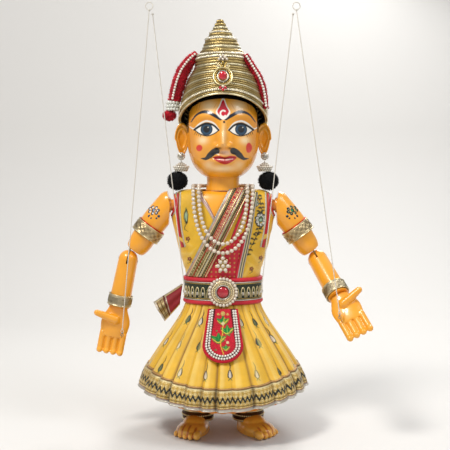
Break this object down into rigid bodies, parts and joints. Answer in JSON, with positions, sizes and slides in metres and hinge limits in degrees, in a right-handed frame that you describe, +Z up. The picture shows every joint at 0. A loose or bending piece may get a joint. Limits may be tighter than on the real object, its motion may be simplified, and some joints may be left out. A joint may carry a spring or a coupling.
{
  "type": "string puppet",
  "caption": "Carved wooden string puppet in a crown, pearls, wrapped sash and full skirt, with jointed shoulders, elbows, hips and knees and cords to its palms and waist.",
  "frame": {"origin": "on the floor, under the middle of the bounding box of the whole puppet", "axes": "+Z up, -Y the way the puppet faces, -X its right hand"},
  "size_m": [0.3636, 0.2081, 0.5592],
  "materials": {
    "painted_wood": "glossy yellow-orange enamel over carved wood",
    "vest_satin": "yellow satin with red and silver piping",
    "sash_brocade": "red and gold brocade with silver edges",
    "belt_brocade": "dark green brocade with gold arches and red piping",
    "skirt_silk": "yellow silk with small woven motifs",
    "hem_brocade": "gold and black brocade border",
    "slip_cotton": "plain orange-yellow cotton",
    "panel_embroidery": "red velvet embroidered in green",
    "pearl": "pearl lustre",
    "crown_gilt": "gilt metal-thread cord wound in rows, satin",
    "gilt_metal": "polished gilt",
    "garland_plush": "red plush with a pearl string",
    "silver_metal": "bright silver",
    "black_wool": "matt black wool",
    "bangle_metal": "stamped silver-gold bands, lightly worn",
    "anklet_metal": "dark gold with a bead row",
    "steel_pin": "plain wire",
    "cotton_cord": "twisted white cotton"
  },
  "bodies": {
    "torso": {"torso": "painted_wood", "vest": "vest_satin", "sash": "sash_brocade", "sash_tail": "sash_brocade", "waist_belt": "belt_brocade", "belt_buckle": "gilt_metal", "skirt": "skirt_silk", "skirt_border": "hem_brocade", "petticoat": "slip_cotton", "pearl_necklaces": "pearl", "necklace_pendant": "pearl", "hip_rod": "steel_pin", "waist_string_eyes": "gilt_metal"},
    "front_panel": {"front_panel": "panel_embroidery"},
    "head": {"head": "painted_wood", "crown": "crown_gilt", "crown_medallion": "gilt_metal", "right_crown_garland": "garland_plush", "left_crown_garland": "garland_plush", "ear_studs": "silver_metal"},
    "right_earring": {"right_earring_bell": "silver_metal", "right_earring_pompom": "black_wool"},
    "right_shoulder": {"right_shoulder_knuckle": "painted_wood", "right_shoulder_pin": "steel_pin"},
    "right_upper_arm": {"right_upper_arm": "painted_wood", "right_armlet": "bangle_metal", "right_elbow_tab": "gilt_metal"},
    "right_forearm": {"right_forearm": "painted_wood", "right_elbow_pin": "steel_pin", "right_bracelet": "bangle_metal", "right_hand": "painted_wood", "right_palm_eye": "gilt_metal"},
    "right_string_ring": {"right_string_ring": "steel_pin"},
    "right_string_hitch": {"right_string_hitch": "steel_pin"},
    "right_hand_string": {"right_hand_string": "cotton_cord"},
    "right_waist_string": {"right_waist_string": "cotton_cord"},
    "right_thigh": {"right_thigh": "painted_wood"},
    "right_lower_leg": {"right_lower_leg": "painted_wood", "right_knee_pin": "steel_pin", "right_anklet": "anklet_metal"},
    "left_earring": {"left_earring_bell": "silver_metal", "left_earring_pompom": "black_wool"},
    "left_shoulder": {"left_shoulder_knuckle": "painted_wood", "left_shoulder_pin": "steel_pin"},
    "left_upper_arm": {"left_upper_arm": "painted_wood", "left_armlet": "bangle_metal", "left_elbow_tab": "gilt_metal"},
    "left_forearm": {"left_forearm": "painted_wood", "left_elbow_pin": "steel_pin", "left_bracelet": "bangle_metal", "left_hand": "painted_wood", "left_palm_eye": "gilt_metal"},
    "left_string_ring": {"left_string_ring": "steel_pin"},
    "left_string_hitch": {"left_string_hitch": "steel_pin"},
    "left_hand_string": {"left_hand_string": "cotton_cord"},
    "left_waist_string": {"left_waist_string": "cotton_cord"},
    "left_thigh": {"left_thigh": "painted_wood"},
    "left_lower_leg": {"left_lower_leg": "painted_wood", "left_knee_pin": "steel_pin", "left_anklet": "anklet_metal"}
  },
  "joints": [
    {"name": "head_turn", "type": "hinge", "parent": "torso", "child": "head", "pos_m": [-0.00829, 0, 0.325], "axis": [0, 0, 1], "range_deg": [-45, 45]},
    {"name": "front_panel_lift", "type": "hinge", "parent": "torso", "child": "front_panel", "pos_m": [-0.00829, -0.0417, 0.1735], "axis": [-1, 0, 0], "range_deg": [0, 30]},
    {"name": "right_earring_swing", "type": "hinge", "parent": "head", "child": "right_earring", "pos_m": [-0.06429, -0.006, 0.36305], "axis": [1, 0, 0], "range_deg": [-25, 25]},
    {"name": "right_shoulder_swing", "type": "hinge", "parent": "torso", "child": "right_shoulder", "pos_m": [-0.08229, 0, 0.306], "axis": [-1, 0, 0], "range_deg": [-4, 80]},
    {"name": "right_shoulder_lift", "type": "hinge", "parent": "right_shoulder", "child": "right_upper_arm", "pos_m": [-0.08229, 0, 0.306], "axis": [0, 1, 0], "range_deg": [-5, 12]},
    {"name": "right_elbow_bend", "type": "hinge", "parent": "right_upper_arm", "child": "right_forearm", "pos_m": [-0.13659, 0, 0.23235], "axis": [-0.9792, 0, 0.2028], "range_deg": [0, 90]},
    {"name": "right_string_ring_slide", "type": "hinge", "parent": "right_forearm", "child": "right_string_ring", "pos_m": [-0.1447, -0.0118, 0.12905], "axis": [-0.9792, 0, 0.2028], "range_deg": [-92, 2]},
    {"name": "right_string_hitch_slide", "type": "hinge", "parent": "right_string_ring", "child": "right_string_hitch", "pos_m": [-0.14419, -0.0118, 0.1315], "axis": [0, 1, 0], "range_deg": [-14, 7]},
    {"name": "right_hand_string_tilt", "type": "hinge", "parent": "right_string_hitch", "child": "right_hand_string", "pos_m": [-0.14393, -0.0118, 0.13399], "axis": [-1, 0, 0], "range_deg": [-82, 6]},
    {"name": "right_waist_string_tilt", "type": "hinge", "parent": "torso", "child": "right_waist_string", "pos_m": [-0.05879, -0.0205, 0.186], "axis": [-1, 0, 0], "range_deg": [-6, 6]},
    {"name": "right_hip_swing", "type": "hinge", "parent": "torso", "child": "right_thigh", "pos_m": [-0.04229, 0, 0.148], "axis": [-1, 0, 0], "range_deg": [-15, 24]},
    {"name": "right_knee_bend", "type": "hinge", "parent": "right_thigh", "child": "right_lower_leg", "pos_m": [-0.04229, 0, 0.084], "axis": [1, 0, 0], "range_deg": [0, 30]},
    {"name": "left_earring_swing", "type": "hinge", "parent": "head", "child": "left_earring", "pos_m": [0.04771, -0.006, 0.36305], "axis": [1, 0, 0], "range_deg": [-25, 25]},
    {"name": "left_shoulder_swing", "type": "hinge", "parent": "torso", "child": "left_shoulder", "pos_m": [0.06571, 0, 0.306], "axis": [-1, 0, 0], "range_deg": [-4, 80]},
    {"name": "left_shoulder_lift", "type": "hinge", "parent": "left_shoulder", "child": "left_upper_arm", "pos_m": [0.06571, 0, 0.306], "axis": [0, -1, 0], "range_deg": [-5, 12]},
    {"name": "left_elbow_bend", "type": "hinge", "parent": "left_upper_arm", "child": "left_forearm", "pos_m": [0.12001, 0, 0.23235], "axis": [-0.887, 0, -0.4617], "range_deg": [-20, 50]},
    {"name": "left_string_ring_slide", "type": "hinge", "parent": "left_forearm", "child": "left_string_ring", "pos_m": [0.14134, -0.07512, 0.16323], "axis": [-0.887, 0, -0.4617], "range_deg": [-52, 22]},
    {"name": "left_string_hitch_slide", "type": "hinge", "parent": "left_string_ring", "child": "left_string_hitch", "pos_m": [0.14019, -0.07512, 0.16544], "axis": [0, -1, 0], "range_deg": [-14, 7]},
    {"name": "left_hand_string_tilt", "type": "hinge", "parent": "left_string_hitch", "child": "left_hand_string", "pos_m": [0.13981, -0.07512, 0.16792], "axis": [-1, 0, 0], "range_deg": [-82, 6]},
    {"name": "left_waist_string_tilt", "type": "hinge", "parent": "torso", "child": "left_waist_string", "pos_m": [0.04221, -0.0205, 0.186], "axis": [-1, 0, 0], "range_deg": [-6, 6]},
    {"name": "left_hip_swing", "type": "hinge", "parent": "torso", "child": "left_thigh", "pos_m": [0.02571, 0, 0.148], "axis": [-1, 0, 0], "range_deg": [-15, 24]},
    {"name": "left_knee_bend", "type": "hinge", "parent": "left_thigh", "child": "left_lower_leg", "pos_m": [0.02571, 0, 0.084], "axis": [1, 0, 0], "range_deg": [0, 30]}
  ],
  "couplings": [
    {"joint": "right_string_ring_slide", "follows": "right_elbow_bend", "ratio": -1},
    {"joint": "right_string_hitch_slide", "follows": "right_shoulder_lift", "ratio": -1},
    {"joint": "right_hand_string_tilt", "follows": "right_shoulder_swing", "ratio": -1},
    {"joint": "left_string_ring_slide", "follows": "left_elbow_bend", "ratio": -1},
    {"joint": "left_string_hitch_slide", "follows": "left_shoulder_lift", "ratio": -1},
    {"joint": "left_hand_string_tilt", "follows": "left_shoulder_swing", "ratio": -1}
  ]
}
